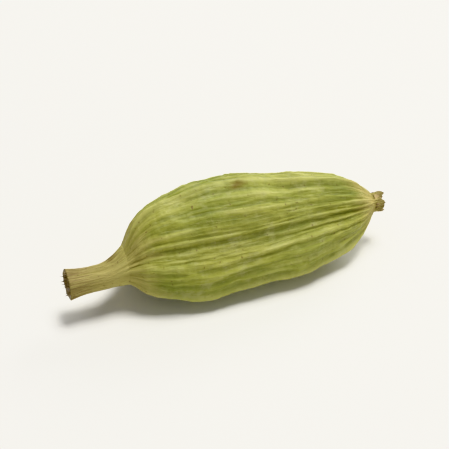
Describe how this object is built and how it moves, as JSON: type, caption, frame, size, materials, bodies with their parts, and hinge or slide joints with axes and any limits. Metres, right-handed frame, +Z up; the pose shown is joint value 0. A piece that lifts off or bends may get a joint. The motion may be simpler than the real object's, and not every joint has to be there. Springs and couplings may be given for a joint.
{
  "type": "green cardamom pod",
  "caption": "Dried green cardamom pod: a three-sided ribbed capsule with a short stalk stub and a small beak, lying on one face.",
  "frame": {"origin": "middle of the base of the bounding box, on the surface that the pod lies on", "axes": "+X along the pod from the stalk to the beak, +Z up through the capsule's upper angle, +Y to the pod's far side"},
  "size_m": [0.0184, 0.0064, 0.0061],
  "materials": {
    "husk": "matt, papery and finely ribbed, as a dried plant husk"
  },
  "bodies": {
    "root": {"cardamom_pod": "husk"}
  },
  "joints": []
}
